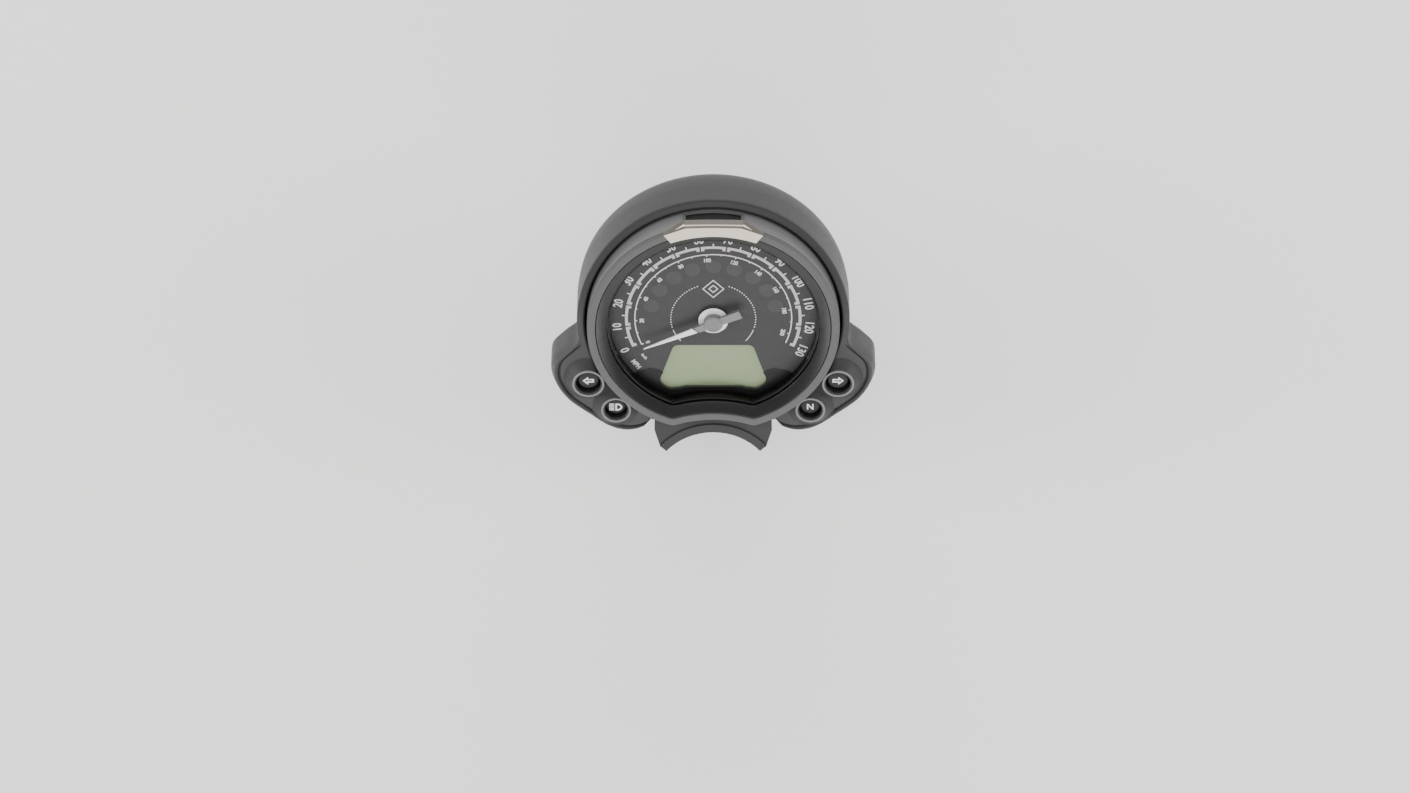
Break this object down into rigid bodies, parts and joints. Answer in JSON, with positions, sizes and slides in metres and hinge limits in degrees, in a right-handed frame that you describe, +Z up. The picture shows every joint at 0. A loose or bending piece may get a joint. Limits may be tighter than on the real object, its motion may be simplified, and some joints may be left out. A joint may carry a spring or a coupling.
{
  "type": "instrument cluster",
  "caption": "Round motorcycle gauge with a swept needle, liquid-crystal window and side tell-tale lamps, in a moulded surround with a lower cowl and a rubber-isolated mounting bracket.",
  "frame": {"origin": "middle of the bracket foot's rear face, where the cluster bolts to the top yoke", "axes": "+Z up, +Y towards the front of the motorcycle, +X to the rider's right; the dial leans back 36.5 degrees from level, facing up and rearward"},
  "size_m": [0.1546, 0.1308, 0.1445],
  "materials": {
    "bezel_paint": "satin grey paint",
    "housing_paint": "satin dark grey paint",
    "moulded_plastic": "fine-grained dark moulding",
    "badge_cream": "cream satin facets",
    "clear_glass": "clear, coated",
    "clear_plastic": "smoked clear plastic",
    "rubber": "matt",
    "dial_print": "matt dark print",
    "lcd": "grey-green liquid-crystal panel",
    "black_plastic": "matt black",
    "tube_grey": "satin grey",
    "white_plastic": "white satin",
    "hub_grey": "grey satin",
    "gear_plastic": "natural acetal",
    "magnet": "sintered magnet",
    "plated_steel": "zinc plated",
    "copper_wire": "enamelled copper wire",
    "board_green": "solder resist"
  },
  "bodies": {
    "cluster": {"bezel_ring": "bezel_paint", "gauge_housing": "housing_paint", "surround": "moulded_plastic", "inner_bezel": "moulded_plastic", "lower_cowl": "moulded_plastic", "rear_cover": "moulded_plastic", "badge": "badge_cream", "glass_lens": "clear_glass", "light_guide": "clear_plastic", "lens_turn_left": "clear_plastic", "lens_beam": "clear_plastic", "lens_turn_right": "clear_plastic", "lens_neutral": "clear_plastic", "lens_seal": "rubber", "rear_seal": "rubber", "grommet_1": "rubber", "grommet_2": "rubber", "grommet_3": "rubber", "dial_plate": "dial_print", "lcd_panel": "lcd", "lcd_holder": "black_plastic", "motor_cup": "black_plastic", "motor_lid": "black_plastic", "connector_socket": "black_plastic", "breather_vent": "black_plastic", "tube_turn_left": "tube_grey", "tube_beam": "tube_grey", "tube_turn_right": "tube_grey", "tube_neutral": "tube_grey", "led_turn_left": "white_plastic", "led_beam": "white_plastic", "led_turn_right": "white_plastic", "led_neutral": "white_plastic", "stator": "plated_steel", "mounting_bracket": "plated_steel", "sleeve_1": "plated_steel", "sleeve_2": "plated_steel", "sleeve_3": "plated_steel", "cowl_screw_left": "plated_steel", "cowl_screw_right": "plated_steel", "housing_screw_1": "plated_steel", "housing_screw_2": "plated_steel", "housing_screw_3": "plated_steel", "housing_screw_4": "plated_steel", "mount_bolt_1": "plated_steel", "mount_bolt_2": "plated_steel", "mount_bolt_3": "plated_steel", "coil_across": "copper_wire", "coil_down": "copper_wire", "circuit_board": "board_green", "lamp_board_left": "board_green", "lamp_board_right": "board_green"},
    "needle": {"needle_blade": "white_plastic", "needle_hub": "hub_grey", "needle_disc": "white_plastic", "output_wheel": "gear_plastic"},
    "middle_wheel": {"intermediate_wheel": "gear_plastic"},
    "motor_rotor": {"rotor": "magnet"}
  },
  "joints": [
    {"name": "needle_sweep", "type": "hinge", "parent": "cluster", "child": "needle", "pos_m": [0, 0.00644, 0.09069], "axis": [0, 0.5948, -0.8039], "range_deg": [0, 227.5]},
    {"name": "middle_spin", "type": "hinge", "parent": "cluster", "child": "middle_wheel", "pos_m": [0, 0.01447, 0.09664], "axis": [0, 0.5948, -0.8039], "range_deg": [-910, 0]},
    {"name": "rotor_spin", "type": "hinge", "parent": "cluster", "child": "motor_rotor", "pos_m": [0.00809, 0.0192, 0.10013], "axis": [0, 0.5948, -0.8039], "range_deg": [0, 3640]}
  ],
  "couplings": [
    {"joint": "middle_spin", "follows": "needle_sweep", "ratio": -4},
    {"joint": "rotor_spin", "follows": "needle_sweep", "ratio": 16}
  ]
}
